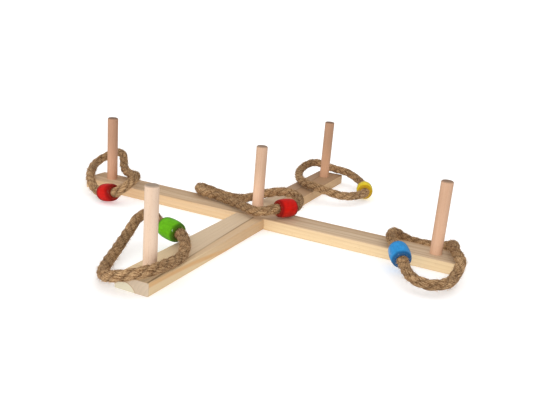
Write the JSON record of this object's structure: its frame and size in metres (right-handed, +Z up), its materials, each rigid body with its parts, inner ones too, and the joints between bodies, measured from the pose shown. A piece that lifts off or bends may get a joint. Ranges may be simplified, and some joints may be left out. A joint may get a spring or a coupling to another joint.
{
  "type": "ring toss game",
  "caption": "Ring toss game: a cross of wooden battens with upright dowel pegs, and throwing rings of thick jute rope, each closed by a painted wooden bead.",
  "frame": {"origin": "the middle of the cross, on the floor that the battens lie on", "axes": "+Z up; +X along the upper batten, towards its end with the ring that has the blue bead; +Y along the lower batten, towards its end with the ring that has the yellow bead"},
  "size_m": [0.6355, 0.6144, 0.114],
  "materials": {
    "pine_lower": "bare sanded pine, pale yellow with brown grain lines",
    "pine_upper": "bare sanded pine, pale yellow with brown grain lines",
    "beech": "bare sanded beech dowel, pinkish tan",
    "jute_rope": "matt hairy jute, three strands",
    "red_paint": "satin gloss paint on wood",
    "green_paint": "satin gloss paint on wood",
    "blue_paint": "satin gloss paint on wood",
    "yellow_paint": "satin gloss paint on wood"
  },
  "bodies": {
    "lower_beam": {"lower_beam": "pine_lower"},
    "upper_beam": {"upper_beam": "pine_upper"},
    "peg_centre": {"peg_centre": "beech"},
    "peg_left": {"peg_left": "beech"},
    "peg_right": {"peg_right": "beech"},
    "peg_front": {"peg_front": "beech"},
    "peg_back": {"peg_back": "beech"},
    "ring_centre": {"rope_centre": "jute_rope", "bead_centre": "red_paint"},
    "ring_left": {"rope_left": "jute_rope", "bead_left": "red_paint"},
    "ring_right": {"rope_right": "jute_rope", "bead_right": "blue_paint"},
    "ring_front": {"rope_front": "jute_rope", "bead_front": "green_paint"},
    "ring_back": {"rope_back": "jute_rope", "bead_back": "yellow_paint"}
  },
  "joints": [
    {"name": "cross_lift", "type": "slide", "parent": "lower_beam", "child": "upper_beam", "axis": [0, 0, 1], "range_m": [0, 0.13]},
    {"name": "peg_centre_pull", "type": "slide", "parent": "lower_beam", "child": "peg_centre", "axis": [0, 0, 1], "range_m": [0, 0.03]},
    {"name": "peg_left_pull", "type": "slide", "parent": "upper_beam", "child": "peg_left", "axis": [0, 0, 1], "range_m": [0, 0.03]},
    {"name": "peg_right_pull", "type": "slide", "parent": "upper_beam", "child": "peg_right", "axis": [0, 0, 1], "range_m": [0, 0.03]},
    {"name": "peg_front_pull", "type": "slide", "parent": "lower_beam", "child": "peg_front", "axis": [0, 0, 1], "range_m": [0, 0.03]},
    {"name": "peg_back_pull", "type": "slide", "parent": "lower_beam", "child": "peg_back", "axis": [0, 0, 1], "range_m": [0, 0.03]},
    {"name": "ring_centre_lift", "type": "slide", "parent": "upper_beam", "child": "ring_centre", "axis": [0, 0, 1], "range_m": [0, 0.13]},
    {"name": "ring_left_lift", "type": "slide", "parent": "upper_beam", "child": "ring_left", "axis": [0, 0, 1], "range_m": [0, 0.13]},
    {"name": "ring_right_lift", "type": "slide", "parent": "upper_beam", "child": "ring_right", "axis": [0, 0, 1], "range_m": [0, 0.13]},
    {"name": "ring_front_lift", "type": "slide", "parent": "lower_beam", "child": "ring_front", "axis": [0, 0, 1], "range_m": [0, 0.13]},
    {"name": "ring_back_lift", "type": "slide", "parent": "lower_beam", "child": "ring_back", "axis": [0, 0, 1], "range_m": [0, 0.13]}
  ]
}
